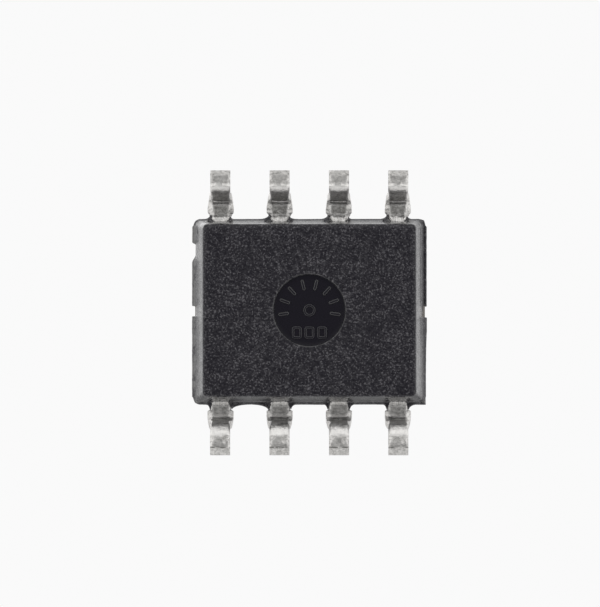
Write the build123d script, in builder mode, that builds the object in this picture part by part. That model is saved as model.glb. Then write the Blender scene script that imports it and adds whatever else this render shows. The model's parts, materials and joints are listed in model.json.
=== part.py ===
from build123d import *
import os
from math import atan2, radians, tan

# An eight-lead driver chip in a moulded small-outline body, for soldering to the face of a board.
# A stamped copper lead frame is moulded into black epoxy. Inside, a silicon die is glued to the
# frame's paddle, and a gold wire joins it to each lead. Outside, the leads bend down in gull wings.
#
# Origin: on the board's face, below the centre of the body. +Z leads away from the board, X runs
# along the rows of leads and Y across them. Lead 1 is at -X -Y, and the numbers run anticlockwise
# as seen from above, so the front row (-Y) holds leads 1 to 4 and the back row (+Y) leads 5 to 8.
# Every length is in millimetres and every angle in degrees.

# ---- Moulded body, measured at its parting line -----------------------------------------------
BODY_LENGTH = 4.90
BODY_WIDTH = 3.90
BODY_HEIGHT = 1.45
STANDOFF = 0.15  # air between the board and the body
END_DRAFT = 14.8  # lean of the two short ends
SIDE_DRAFT = 9.1  # lean of the two long sides
PARTING_CORNER_RADIUS = 0.12
FACE_CORNER_RADIUS = 0.07
FACE_EDGE_RADIUS = 0.03

# ---- Mould flash, as thick as the lead frame --------------------------------------------------
SIDE_FLASH = 0.06  # stands out between the leads
END_FLASH = 0.085  # stands out at the short ends
FLASH_CORNER_RADIUS = 0.12
FLASH_ROOT_RADIUS = 0.10  # where the side flash climbs the leads
FLASH_CHIP_PLACE = 1.28  # middle of the broken-out piece, forward of the left tie bar
FLASH_CHIP_LENGTH = 0.40

# ---- Ejector recess under the body, with plain raised marks -----------------------------------
RECESS_DIAMETER = 1.55
RECESS_DEPTH = 0.06
MARK_HEIGHT = 0.025
BAR_COUNT = 8
BAR_STEP = 28.0  # from one radial bar to the next
BAR_RING_RADIUS = 0.56
BAR_LENGTH = 0.24
BAR_WIDTH = 0.07
RING_DIAMETER = 0.26
BOX_COUNT = 3
BOX_PITCH = 0.27
BOX_WIDTH = 0.21
BOX_HEIGHT = 0.26
BOX_ROW_OFFSET = 0.48
MARK_STROKE = 0.05  # wall of the ring and of the boxes

# ---- Dimple on top that marks lead 1 ----------------------------------------------------------
DIMPLE_DIAMETER = 0.50
DIMPLE_DEPTH = 0.05
DIMPLE_FROM_END = 0.72
DIMPLE_FROM_SIDE = 0.66

# ---- Lead frame -------------------------------------------------------------------------------
FRAME_THICKNESS = 0.20
LEADS_PER_ROW = 4
LEAD_PITCH = 1.27
LEAD_WIDTH = 0.43
LEAD_EDGE_RADIUS = 0.025
NECK_WIDTH = 0.33  # at the body's side
FLARE_WIDTH = 0.47  # at the inner edge of the cut dam bar
DAM_WIDTH = 0.56  # over the stubs of the cut dam bar
DAM_LINE = 0.18  # from the body's side to the dam bar's inner edge
STUB_DROP = 0.42  # how far down the shank the stubs reach
STUB_TAPER = 0.32
SHANK_ANGLE = 76.0
UPPER_BEND_RADIUS = 0.10  # on the underside
LOWER_BEND_RADIUS = 0.25  # on the underside
TOE_BEVEL_HEIGHT = 0.15
# The two rows were formed and trimmed a little differently.
FRONT_SHOULDER = 0.40  # from the body's side to the corner of the upper bend
BACK_SHOULDER = 0.35
FRONT_SOLE = 0.34  # from the heel's corner to the end of the flat sole
BACK_SOLE = 0.46
FRONT_TOE_BEVEL = 0.125  # sheared slope beyond the sole
BACK_TOE_BEVEL = 0.16

# ---- Inner fingers of the leads ---------------------------------------------------------------
LOCK_DEPTH = 0.10  # from the body's side to where a finger starts to widen
MIDDLE_FINGER_REACH = 0.68  # from the body's side to the tip
MIDDLE_FINGER_WIDTH = 0.60
CORNER_FINGER_REACH = 1.40
CORNER_FINGER_STEP = 0.55  # from the body's side to where it widens inwards
CORNER_FINGER_OUTER = 0.12  # from the lead's centre line, away from the body's centre
CORNER_FINGER_INNER = 0.42  # from the lead's centre line, towards the body's centre

# ---- Paddle and its tie bars ------------------------------------------------------------------
PADDLE_GAP = 0.185  # between the paddle and the tips and flanks of the fingers
PADDLE_CORNER_RADIUS = 0.10
PADDLE_DOWNSET = 0.20
TIE_BAR_WIDTH = 0.24
TIE_BAR_FOOT = 0.12  # from the paddle's end to the foot of the slope
TIE_BAR_SLOPE_RUN = 0.20
TIE_BAR_BEND_RADIUS = 0.05
LEFT_TIE_BAR_PROUD = 0.01  # cut end, outside the body's end
RIGHT_TIE_BAR_PROUD = 0.04

# ---- Die, adhesive and wires ------------------------------------------------------------------
DIE_LENGTH = 1.50
DIE_WIDTH = 1.20
DIE_HEIGHT = 0.28
ADHESIVE_THICKNESS = 0.025
ADHESIVE_BORDER = 0.04
ADHESIVE_CORNER_RADIUS = 0.10
PAD_FROM_DIE_EDGE = 0.13
MIDDLE_PAD_PLACE = 0.22  # along X, from the die's centre
WIRE_DIAMETER = 0.05
BALL_DIAMETER = 0.12
BALL_HEIGHT = 0.03
LOOP_HEIGHT = 0.20  # of the wire's upper corner, above the die
LOOP_RADIUS = 0.06
KNEE_DROP = 0.05  # below the upper corner
KNEE_RADIUS = 0.20
KNEE_PLACE = 0.55  # part of the way from the ball to the landing
LANDING_RADIUS = 0.10
STITCH_LENGTH = 0.16
STITCH_WIDTH = 0.10
STITCH_HEIGHT = 0.03
STITCH_FROM_TIP = 0.16

# ---- Levels and places that follow from them --------------------------------------------------
HALF_DEPTH = (BODY_HEIGHT - FRAME_THICKNESS) / 2
FRAME_BOTTOM = STANDOFF + HALF_DEPTH
FRAME_TOP = FRAME_BOTTOM + FRAME_THICKNESS
BODY_TOP = STANDOFF + BODY_HEIGHT
FACE_LENGTH = BODY_LENGTH - 2 * HALF_DEPTH * tan(radians(END_DRAFT))
FACE_WIDTH = BODY_WIDTH - 2 * HALF_DEPTH * tan(radians(SIDE_DRAFT))
BODY_END = BODY_LENGTH / 2
BODY_SIDE = BODY_WIDTH / 2
DAM_INNER = BODY_SIDE + DAM_LINE
SHANK_RUN = FRAME_BOTTOM / tan(radians(SHANK_ANGLE))
PADDLE_BOTTOM = FRAME_BOTTOM - PADDLE_DOWNSET
PADDLE_TOP = PADDLE_BOTTOM + FRAME_THICKNESS
DIE_BOTTOM = PADDLE_TOP + ADHESIVE_THICKNESS
DIE_TOP = DIE_BOTTOM + DIE_HEIGHT
LEAD_CENTRES = [LEAD_PITCH * (i - (LEADS_PER_ROW - 1) / 2) for i in range(LEADS_PER_ROW)]
LEAD_PLACES = [(x, -1) for x in LEAD_CENTRES] + [(x, 1) for x in reversed(LEAD_CENTRES)]
PADDLE_LENGTH = 2 * (LEAD_CENTRES[-1] - CORNER_FINGER_INNER - PADDLE_GAP)
PADDLE_WIDTH = 2 * (BODY_SIDE - MIDDLE_FINGER_REACH - PADDLE_GAP)


# ---- Leads ------------------------------------------------------------------------------------
def is_corner(x):
    """Whether the lead at x is the last of its row."""
    return abs(x) > LEAD_CENTRES[-1] - LEAD_PITCH / 2


def neck_outline(x):
    """Plan of a neck as (x, distance from the centre line), from its inner to its outer flank."""
    inner_flank = [(x + NECK_WIDTH / 2, BODY_SIDE), (x + FLARE_WIDTH / 2, DAM_INNER)]
    return inner_flank + [(2 * x - px, reach) for px, reach in reversed(inner_flank)]


def middle_finger_outline(x):
    """Plan of a middle lead's finger, as (x, distance from the centre line)."""
    wide = BODY_SIDE - 2 * LOCK_DEPTH
    tip = BODY_SIDE - MIDDLE_FINGER_REACH
    left, right = x - MIDDLE_FINGER_WIDTH / 2, x + MIDDLE_FINGER_WIDTH / 2
    return [(left, wide), (left, tip), (right, tip), (right, wide)]


def corner_finger_outline(x):
    """Plan of a corner lead's finger, which widens towards the middle of the body's end."""
    outwards = 1 if x > 0 else -1
    outer = x + outwards * CORNER_FINGER_OUTER
    narrow = x - outwards * FLARE_WIDTH / 2
    inner = x - outwards * CORNER_FINGER_INNER
    lock, step = BODY_SIDE - LOCK_DEPTH, BODY_SIDE - CORNER_FINGER_STEP
    tip = BODY_SIDE - CORNER_FINGER_REACH
    outline = [(narrow, lock), (narrow, step), (inner, step - abs(inner - narrow))]
    outline += [(inner, tip), (outer, tip), (outer, lock)]
    return outline if outwards > 0 else outline[::-1]


def draw_lead_profile(side):
    """Draw the side view of a formed lead, from the dam bar's inner edge to the toe."""
    front, back = (FRONT_SHOULDER, FRONT_SOLE, FRONT_TOE_BEVEL), (BACK_SHOULDER, BACK_SOLE, BACK_TOE_BEVEL)
    shoulder, sole, bevel = front if side < 0 else back
    start, bend = side * DAM_INNER, side * (BODY_SIDE + shoulder)
    heel = bend + side * SHANK_RUN
    sole_end, toe = heel + side * sole, heel + side * (sole + bevel)
    shift = side * FRAME_THICKNESS * tan(radians(SHANK_ANGLE / 2))
    underside = FilletPolyline(
        (start, FRAME_BOTTOM),
        (bend, FRAME_BOTTOM),
        (heel, 0),
        (sole_end, 0),
        radius=[UPPER_BEND_RADIUS, LOWER_BEND_RADIUS],
    )
    upper = FilletPolyline(
        (start, FRAME_TOP),
        (bend + shift, FRAME_TOP),
        (heel + shift, FRAME_THICKNESS),
        (toe, FRAME_THICKNESS),
        radius=[UPPER_BEND_RADIUS + FRAME_THICKNESS, LOWER_BEND_RADIUS - FRAME_THICKNESS],
    )
    Line(underside @ 0, upper @ 0)
    Polyline(underside @ 1, (toe, TOE_BEVEL_HEIGHT), upper @ 1)


def make_lead(x, side):
    """Build a lead: its gull wing, the stubs of the cut dam bar, the neck and the inner finger."""
    with BuildPart() as wing:
        with BuildSketch(Plane.YZ.offset(x)):
            with BuildLine():
                draw_lead_profile(side)
            make_face()
        extrude(amount=LEAD_WIDTH / 2, both=True)
        flank_edges = wing.faces().filter_by(Axis.X).edges()
        fillet([e for e in flank_edges if abs(e.center().Y) > DAM_INNER + LEAD_EDGE_RADIUS], LEAD_EDGE_RADIUS)

    stub_end = FRAME_BOTTOM - STUB_DROP
    stub_outline = [(x + DAM_WIDTH / 2, FRAME_TOP), (x + DAM_WIDTH / 2, stub_end + STUB_TAPER)]
    stub_outline += [(x + LEAD_WIDTH / 2, stub_end)]
    stub_outline += [(2 * x - px, z) for px, z in reversed(stub_outline)]
    with BuildPart() as stubs:
        with BuildSketch(Plane.YZ.offset(x)):
            with BuildLine():
                draw_lead_profile(side)
            make_face()
        extrude(amount=DAM_WIDTH / 2, both=True)
        with BuildSketch(Plane.XZ):
            with BuildLine():
                Polyline(*stub_outline, close=True)
            make_face()
        extrude(amount=2 * BODY_WIDTH, both=True, mode=Mode.INTERSECT)

    plan = neck_outline(x) + (corner_finger_outline(x) if is_corner(x) else middle_finger_outline(x))
    with BuildPart() as lead:
        add(wing.part)
        add(stubs.part)
        with BuildSketch(Plane.XY.offset(FRAME_BOTTOM)):
            with BuildLine():
                Polyline(*[(px, side * reach) for px, reach in plan], close=True)
            make_face()
        extrude(amount=FRAME_THICKNESS)
    return lead.part


leads = [make_lead(x, side) for x, side in LEAD_PLACES]


# ---- Paddle with its two tie bars -------------------------------------------------------------
def draw_tie_bar_profile(outwards, proud):
    """Draw the side view of a tie bar, from the paddle's centre to its cut end."""
    foot = PADDLE_LENGTH / 2 + TIE_BAR_FOOT
    head = foot + TIE_BAR_SLOPE_RUN
    end = BODY_END + proud
    slope = atan2(PADDLE_DOWNSET, TIE_BAR_SLOPE_RUN)
    shift = FRAME_THICKNESS * tan(slope / 2)
    radii = [TIE_BAR_BEND_RADIUS, TIE_BAR_BEND_RADIUS]
    lower = FilletPolyline(
        (0, PADDLE_BOTTOM),
        (outwards * foot, PADDLE_BOTTOM),
        (outwards * head, FRAME_BOTTOM),
        (outwards * end, FRAME_BOTTOM),
        radius=radii,
    )
    upper = FilletPolyline(
        (0, PADDLE_TOP),
        (outwards * (foot - shift), PADDLE_TOP),
        (outwards * (head - shift), FRAME_TOP),
        (outwards * end, FRAME_TOP),
        radius=radii,
    )
    Line(lower @ 0, upper @ 0)
    Line(lower @ 1, upper @ 1)


with BuildPart() as die_paddle:
    with BuildSketch(Plane.XY.offset(PADDLE_BOTTOM)):
        RectangleRounded(PADDLE_LENGTH, PADDLE_WIDTH, PADDLE_CORNER_RADIUS)
    extrude(amount=FRAME_THICKNESS)
    for outwards, proud in ((-1, LEFT_TIE_BAR_PROUD), (1, RIGHT_TIE_BAR_PROUD)):
        with BuildSketch(Plane.XZ):
            with BuildLine():
                draw_tie_bar_profile(outwards, proud)
            make_face()
        extrude(amount=TIE_BAR_WIDTH / 2, both=True)

# ---- Adhesive and die -------------------------------------------------------------------------
with BuildPart() as die_attach:
    with BuildSketch(Plane.XY.offset(PADDLE_TOP)):
        RectangleRounded(
            DIE_LENGTH + 2 * ADHESIVE_BORDER, DIE_WIDTH + 2 * ADHESIVE_BORDER, ADHESIVE_CORNER_RADIUS
        )
    extrude(amount=ADHESIVE_THICKNESS)

with BuildPart() as silicon_die:
    with BuildSketch(Plane.XY.offset(DIE_BOTTOM)):
        Rectangle(DIE_LENGTH, DIE_WIDTH)
    extrude(amount=DIE_HEIGHT)


# ---- Bond wires -------------------------------------------------------------------------------
def wire_ends(x, side):
    """Places, in plan, of a wire's ball on the die and of the far end of its stitch on the finger."""
    outwards = 1 if x > 0 else -1
    pad_y = side * (DIE_WIDTH / 2 - PAD_FROM_DIE_EDGE)
    if is_corner(x):
        pad = Vector(outwards * (DIE_LENGTH / 2 - PAD_FROM_DIE_EDGE), pad_y)
        tip = BODY_SIDE - CORNER_FINGER_REACH
        return pad, Vector(x - outwards * CORNER_FINGER_INNER / 2, side * (tip + STITCH_FROM_TIP))
    tip = BODY_SIDE - MIDDLE_FINGER_REACH
    return Vector(outwards * MIDDLE_PAD_PLACE, pad_y), Vector(x, side * (tip + STITCH_FROM_TIP))


def make_wire(x, side):
    """Build the gold wire of one lead, with its ball on the die and its stitch on the finger."""
    pad, stitch_end = wire_ends(x, side)
    along = (stitch_end - pad).normalized()
    landing = stitch_end - along * STITCH_LENGTH
    knee = pad + (landing - pad) * KNEE_PLACE
    up = Vector(0, 0, 1)
    stitch_level = FRAME_TOP + STITCH_HEIGHT
    route = [
        pad + up * (DIE_TOP + BALL_HEIGHT / 2),
        pad + up * (DIE_TOP + LOOP_HEIGHT),
        knee + up * (DIE_TOP + LOOP_HEIGHT - KNEE_DROP),
        landing + up * stitch_level,
        stitch_end + up * stitch_level,
    ]
    with BuildPart() as wire:
        with BuildLine() as path:
            FilletPolyline(*route, radius=[LOOP_RADIUS, KNEE_RADIUS, LANDING_RADIUS])
        with BuildSketch(Plane(origin=path.line @ 0, z_dir=path.line % 0)):
            Circle(WIRE_DIAMETER / 2)
        sweep()
        with BuildSketch(Plane.XY.offset(DIE_TOP)):
            with Locations(pad):
                Circle(BALL_DIAMETER / 2)
        extrude(amount=BALL_HEIGHT)
        stitch_middle = (landing + stitch_end) / 2 + up * FRAME_TOP
        with BuildSketch(Plane(origin=stitch_middle, x_dir=along, z_dir=up)):
            SlotOverall(STITCH_LENGTH + STITCH_WIDTH, STITCH_WIDTH)
        extrude(amount=STITCH_HEIGHT)
    return wire.part


wires = [make_wire(x, side) for x, side in LEAD_PLACES]


# ---- Moulded body -----------------------------------------------------------------------------
def cut_flash_windows():
    """Cut the open windows between the leads, which leave the flash along the body's sides."""
    beyond_end = BODY_END + END_FLASH + LEAD_PITCH
    edges = [-beyond_end] + [x + s * FLARE_WIDTH / 2 for x in LEAD_CENTRES for s in (-1, 1)] + [beyond_end]
    for left, right in zip(edges[::2], edges[1::2]):
        for side in (-1, 1):
            with Locations(((left + right) / 2, side * (BODY_SIDE + SIDE_FLASH + BODY_SIDE / 2))):
                RectangleRounded(right - left, BODY_SIDE, FLASH_ROOT_RADIUS, mode=Mode.SUBTRACT)


def draw_recess_marks():
    """Draw the plain raised marks: an arc of radial bars, a ring, and a row of blank boxes."""
    arc = BAR_STEP * (BAR_COUNT - 1)
    with PolarLocations(BAR_RING_RADIUS, BAR_COUNT, -90 - arc / 2, arc, endpoint=True):
        SlotOverall(BAR_LENGTH, BAR_WIDTH)
    Circle(RING_DIAMETER / 2)
    Circle(RING_DIAMETER / 2 - MARK_STROKE, mode=Mode.SUBTRACT)
    for i in range(BOX_COUNT):
        with Locations((BOX_PITCH * (i - (BOX_COUNT - 1) / 2), BOX_ROW_OFFSET)):
            Rectangle(BOX_WIDTH, BOX_HEIGHT)
            Rectangle(BOX_WIDTH - 2 * MARK_STROKE, BOX_HEIGHT - 2 * MARK_STROKE, mode=Mode.SUBTRACT)


with BuildPart() as flash:
    flash_end = BODY_END + END_FLASH
    with BuildSketch(Plane.XY.offset(FRAME_BOTTOM)):
        RectangleRounded(2 * flash_end, 2 * DAM_INNER, FLASH_CORNER_RADIUS)
        cut_flash_windows()
        with Locations((-flash_end, -FLASH_CHIP_PLACE)):
            Rectangle(2 * END_FLASH, FLASH_CHIP_LENGTH, mode=Mode.SUBTRACT)
        with Locations((-flash_end, 0), (flash_end, 0)):
            Rectangle(2 * END_FLASH, TIE_BAR_WIDTH, mode=Mode.SUBTRACT)
    extrude(amount=FRAME_THICKNESS)

with BuildPart() as package_body:
    for parting_level, face_level in ((FRAME_BOTTOM, STANDOFF), (FRAME_TOP, BODY_TOP)):
        with BuildSketch(Plane.XY.offset(parting_level)):
            RectangleRounded(BODY_LENGTH, BODY_WIDTH, PARTING_CORNER_RADIUS)
        with BuildSketch(Plane.XY.offset(face_level)):
            RectangleRounded(FACE_LENGTH, FACE_WIDTH, FACE_CORNER_RADIUS)
        loft(ruled=True)
    with BuildSketch(Plane.XY.offset(FRAME_BOTTOM)):
        RectangleRounded(BODY_LENGTH, BODY_WIDTH, PARTING_CORNER_RADIUS)
    extrude(amount=FRAME_THICKNESS)
    fillet(package_body.faces().sort_by(Axis.Z)[0].edges(), FACE_EDGE_RADIUS)
    fillet(package_body.faces().sort_by(Axis.Z)[-1].edges(), FACE_EDGE_RADIUS)
    add(flash.part)
    with BuildSketch(Plane.XY.offset(STANDOFF)):
        Circle(RECESS_DIAMETER / 2)
    extrude(amount=RECESS_DEPTH, mode=Mode.SUBTRACT)
    with BuildSketch(Plane.XY.offset(STANDOFF + RECESS_DEPTH)):
        draw_recess_marks()
    extrude(amount=-MARK_HEIGHT)
    with BuildSketch(Plane.XY.offset(BODY_TOP)):
        with Locations((DIMPLE_FROM_END - FACE_LENGTH / 2, DIMPLE_FROM_SIDE - FACE_WIDTH / 2)):
            Circle(DIMPLE_DIAMETER / 2)
    extrude(amount=-DIMPLE_DEPTH, mode=Mode.SUBTRACT)
    for inner_piece in [*leads, die_paddle.part, die_attach.part, silicon_die.part, *wires]:
        add(inner_piece, mode=Mode.SUBTRACT)

# ---- Write each piece to its own file ---------------------------------------------------------
pieces = {
    "package_body": package_body.part,
    "die_paddle": die_paddle.part,
    "die_attach": die_attach.part,
    "silicon_die": silicon_die.part,
}
for number, (lead, wire) in enumerate(zip(leads, wires), start=1):
    pieces[f"lead_{number}"] = lead
    pieces[f"bond_wire_{number}"] = wire

os.makedirs("parts", exist_ok=True)
for name, piece in pieces.items():
    piece.label = name
    export_step(piece, f"parts/{name}.step")
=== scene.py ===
"""Looks of an eight-lead driver chip, seen from below with its feet towards the camera.

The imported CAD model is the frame. The moulded body, its recess marks and the eight formed leads are
modelled here as fine meshes that stand for their CAD nodes. The paddle, the die, its adhesive and the
bond wires are the CAD nodes themselves, with finishes of their own.

Sizes in the classes are in millimetres and angles in degrees. Meshes are written in metres.
"""

import json
import logging
import math
from dataclasses import dataclass, field
from enum import Enum
from typing import Any, Callable, Iterable, Sequence

import bpy
import numpy as np
from mathutils import Matrix, Vector, noise


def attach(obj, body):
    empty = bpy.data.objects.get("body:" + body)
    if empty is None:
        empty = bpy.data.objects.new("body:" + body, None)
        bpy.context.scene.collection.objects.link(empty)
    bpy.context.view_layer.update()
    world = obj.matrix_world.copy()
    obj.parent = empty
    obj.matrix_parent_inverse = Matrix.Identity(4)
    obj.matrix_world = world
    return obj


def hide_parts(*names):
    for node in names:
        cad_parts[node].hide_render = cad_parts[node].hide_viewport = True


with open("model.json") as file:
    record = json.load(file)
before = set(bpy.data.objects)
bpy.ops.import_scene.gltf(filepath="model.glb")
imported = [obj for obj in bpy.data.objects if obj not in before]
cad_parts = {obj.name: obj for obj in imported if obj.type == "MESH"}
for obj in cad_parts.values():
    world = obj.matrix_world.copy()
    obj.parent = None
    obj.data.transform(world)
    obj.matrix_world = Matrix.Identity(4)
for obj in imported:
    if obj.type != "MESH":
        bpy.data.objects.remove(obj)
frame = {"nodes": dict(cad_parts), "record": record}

LOG = logging.getLogger("driver_chip")
METRE = 0.001  # one millimetre, in metres
ROOT = "root"
LEAD_DRIFTS = (-0.009, -0.006, 0.0, 0.002, 0.0, 0.0, -0.007, -0.010)  # along X, leads 1 to 8

Point = tuple[float, float]
Triple = tuple[float, float, float]
Colour = tuple[float, float, float]


# ---- Shader graphs ----------------------------------------------------------------------------
class Signal:
    """A number that flows out of a node, ready for arithmetic."""

    def __init__(self, graph: "Graph", socket: bpy.types.NodeSocket) -> None:
        """Wrap a socket of a graph.

        Args:
            graph: The graph that holds the socket's node.
            socket: The output socket.
        """
        self.graph = graph
        self.socket = socket

    def math(self, operation: str, *others: Any) -> "Signal":
        """Run a Math node on this signal.

        Args:
            operation: The Math node's operation.
            others: The further inputs, as numbers or signals.

        Returns:
            The node's result.
        """
        return self.graph.node("ShaderNodeMath", {"operation": operation}, self, *others)

    def __add__(self, other: Any) -> "Signal":
        """Return self + other."""
        return self.math("ADD", other)

    def __radd__(self, other: Any) -> "Signal":
        """Return other + self."""
        return self.math("ADD", other)

    def __sub__(self, other: Any) -> "Signal":
        """Return self - other."""
        return self.math("SUBTRACT", other)

    def __rsub__(self, other: float) -> "Signal":
        """Return other - self."""
        return self.graph.node("ShaderNodeMath", {"operation": "SUBTRACT"}, other, self)

    def __mul__(self, other: Any) -> "Signal":
        """Return self * other."""
        return self.math("MULTIPLY", other)

    def __rmul__(self, other: Any) -> "Signal":
        """Return other * self."""
        return self.math("MULTIPLY", other)

    def __truediv__(self, other: Any) -> "Signal":
        """Return self / other."""
        return self.math("DIVIDE", other)

    def __abs__(self) -> "Signal":
        """Return the size of self without its sign."""
        return self.math("ABSOLUTE")

    def step(self, start: float, end: float) -> "Signal":
        """Rise smoothly from 0 to 1.

        Args:
            start: The value at which the result is 0.
            end: The value at which the result is 1.

        Returns:
            The smoothed step.
        """
        settings = {"interpolation_type": "SMOOTHSTEP", "clamp": True}
        return self.graph.node("ShaderNodeMapRange", settings, self, start, end, 0.0, 1.0)


class Graph:
    """A node tree under construction."""

    def __init__(self, tree: bpy.types.NodeTree) -> None:
        """Empty a node tree and build in it.

        Args:
            tree: The node tree of a material or a world.
        """
        self.tree = tree
        tree.nodes.clear()

    def node(self, kind: str, settings: dict[str, Any], *inputs: Any, out: int = 0, **named: Any) -> Signal:
        """Add a node, set it up and wire it.

        Args:
            kind: The node's type.
            settings: Its properties, set before its sockets; "stops" fills a colour ramp.
            inputs: Values or signals for its sockets, in order. None leaves a socket alone.
            out: Which output to return.
            named: Values or signals for sockets by name, with _ for a space.

        Returns:
            The chosen output.
        """
        made = self.tree.nodes.new(kind)
        for key, value in settings.items():
            if key == "stops":
                self._fill_ramp(made.color_ramp, value)
            else:
                setattr(made, key, value)
        for index, value in enumerate(inputs):
            self._feed(made.inputs[index], value)
        for key, value in named.items():
            self._feed(made.inputs[key.replace("_", " ")], value)
        return Signal(self, made.outputs[out]) if len(made.outputs) else Signal(self, None)

    @staticmethod
    def _fill_ramp(ramp: bpy.types.ColorRamp, stops: Sequence[tuple[float, float]]) -> None:
        """Set a ramp's stops.

        Args:
            ramp: The ramp.
            stops: Pairs of a place from 0 to 1 and a grey value.
        """
        while len(ramp.elements) < len(stops):
            ramp.elements.new(1.0)
        for element, (place, grey) in zip(ramp.elements, stops):
            element.position = place
            element.color = (grey, grey, grey, 1.0)

    def _feed(self, socket: bpy.types.NodeSocket, value: Any) -> None:
        """Link a signal to a socket, or set its value.

        Args:
            socket: The input socket.
            value: A signal, a number, a colour or None.
        """
        if isinstance(value, Signal):
            self.tree.links.new(value.socket, socket)
        elif value is not None:
            socket.default_value = value

    def place(self) -> Signal:
        """Return the surface point in the row frame, in millimetres."""
        coordinates = self.node("ShaderNodeTexCoord", {}, out=3)
        return self.node("ShaderNodeVectorMath", {"operation": "SCALE"}, coordinates, Scale=1 / METRE)

    def axis(self, vector: Signal, index: int) -> Signal:
        """Return one axis of a vector.

        Args:
            vector: The vector.
            index: 0, 1 or 2.

        Returns:
            The number along that axis.
        """
        return self.node("ShaderNodeSeparateXYZ", {}, vector, out=index)

    def stretched(self, vector: Signal, scale: Sequence[float]) -> Signal:
        """Return a vector multiplied by one factor an axis.

        Args:
            vector: The vector.
            scale: Its three factors.

        Returns:
            The stretched vector.
        """
        return self.node("ShaderNodeVectorMath", {"operation": "MULTIPLY"}, vector, tuple(scale))

    def noise(self, vector: Signal, per_mm: float, detail: float = 2.0, rough: float = 0.5) -> Signal:
        """Return smooth noise about 0.5.

        Args:
            vector: The place in millimetres.
            per_mm: How many lumps there are in a millimetre.
            detail: Finer octaves.
            rough: Strength of the finer octaves.

        Returns:
            The noise, from 0 to 1.
        """
        return self.node(
            "ShaderNodeTexNoise", {}, Vector=vector, Scale=per_mm, Detail=detail, Roughness=rough
        )

    def cells(self, vector: Signal, per_mm: float) -> Signal:
        """Return the distance to the middle of the nearest grain cell.

        Args:
            vector: The place in millimetres.
            per_mm: How many cells there are in a millimetre.

        Returns:
            The distance, about 0 to 0.8.
        """
        return self.node("ShaderNodeTexVoronoi", {}, Vector=vector, Scale=per_mm)

    def blend(self, amount: Signal, low: "Colour | Signal", high: "Colour | Signal") -> Signal:
        """Mix two colours.

        Args:
            amount: 0 for low and 1 for high.
            low: The first colour.
            high: The second colour.

        Returns:
            The mixed colour.
        """
        mixed = self.tree.nodes.new("ShaderNodeMix")
        mixed.data_type = "RGBA"
        self._feed(mixed.inputs[0], amount)
        for socket, colour in ((mixed.inputs[6], low), (mixed.inputs[7], high)):
            self._feed(socket, colour if isinstance(colour, Signal) else (*colour, 1.0))
        return Signal(self, mixed.outputs[2])

    def bump(self, height: Signal, depth_mm: float) -> Signal:
        """Return a normal bent by a height.

        Args:
            height: The relief, from 0 to 1.
            depth_mm: Its depth.

        Returns:
            The bent normal.
        """
        return self.node("ShaderNodeBump", {}, Strength=1.0, Distance=depth_mm * METRE, Height=height)

    def surface(self, **sockets: Any) -> None:
        """Finish the graph with a Principled shader.

        Args:
            sockets: Values or signals for the shader's sockets, with _ for a space.
        """
        shader = self.node("ShaderNodeBsdfPrincipled", {}, **sockets)
        self.node("ShaderNodeOutputMaterial", {}, shader)


# ---- Finishes ---------------------------------------------------------------------------------
@dataclass(frozen=True)
class Finish:
    """A surface finish that can be put on a piece."""

    name: str

    def draw(self, graph: Graph) -> None:
        """Build the finish's nodes.

        Args:
            graph: The empty graph of the material.
        """
        raise NotImplementedError

    def material(self) -> bpy.types.Material:
        """Return the finish as a material, made once.

        Returns:
            The material.
        """
        title = f"{self.name}_finish"
        known = bpy.data.materials.get(title)
        if known is not None:
            return known
        made = bpy.data.materials.new(title)
        made.use_nodes = True
        self.draw(Graph(made.node_tree))
        return made


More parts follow.
